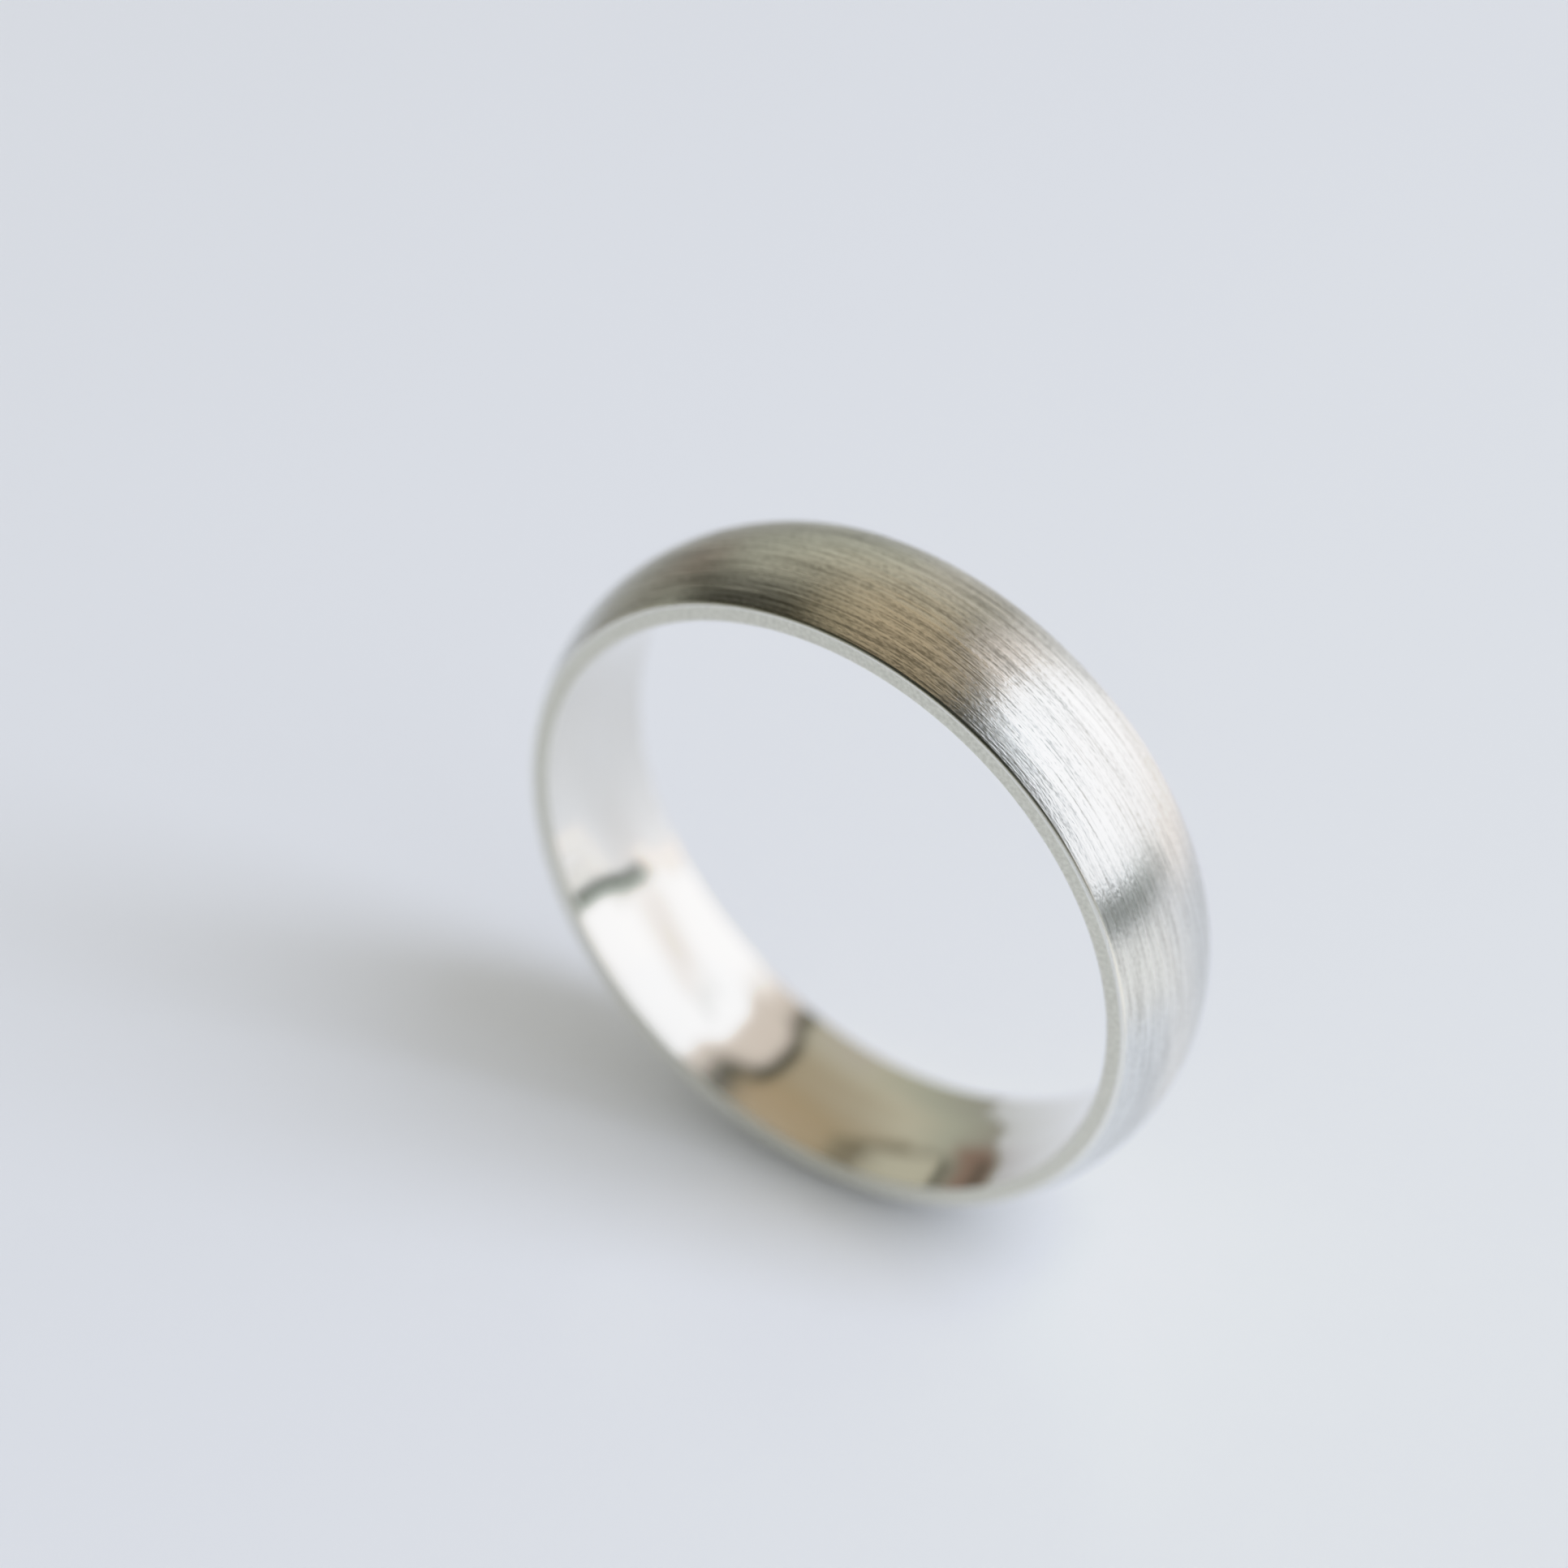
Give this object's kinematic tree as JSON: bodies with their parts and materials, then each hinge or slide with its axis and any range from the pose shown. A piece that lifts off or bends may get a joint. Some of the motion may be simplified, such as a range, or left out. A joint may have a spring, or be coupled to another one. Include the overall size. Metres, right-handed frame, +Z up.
{
  "type": "wedding band",
  "caption": "Plain court-section finger ring: domed brushed outside, narrow flat side faces and a gently domed polished bore, closed by a soldered butt joint.",
  "frame": {"origin": "centre of the bore, midway between the two side faces", "axes": "+Y along the finger axis, +Z up with the band standing on its crown like a wheel; the butt joint is at the bottom, on -Z"},
  "size_m": [0.0192, 0.0042, 0.0192],
  "materials": {
    "satin_silver": "silver, brushed round the dome, fine satin side faces, polished bore and edge breaks",
    "hard_solder": "hard silver solder, dressed flush and finished with the band"
  },
  "bodies": {
    "root": {"band_hoop": "satin_silver", "solder_seam": "hard_solder"}
  },
  "joints": []
}
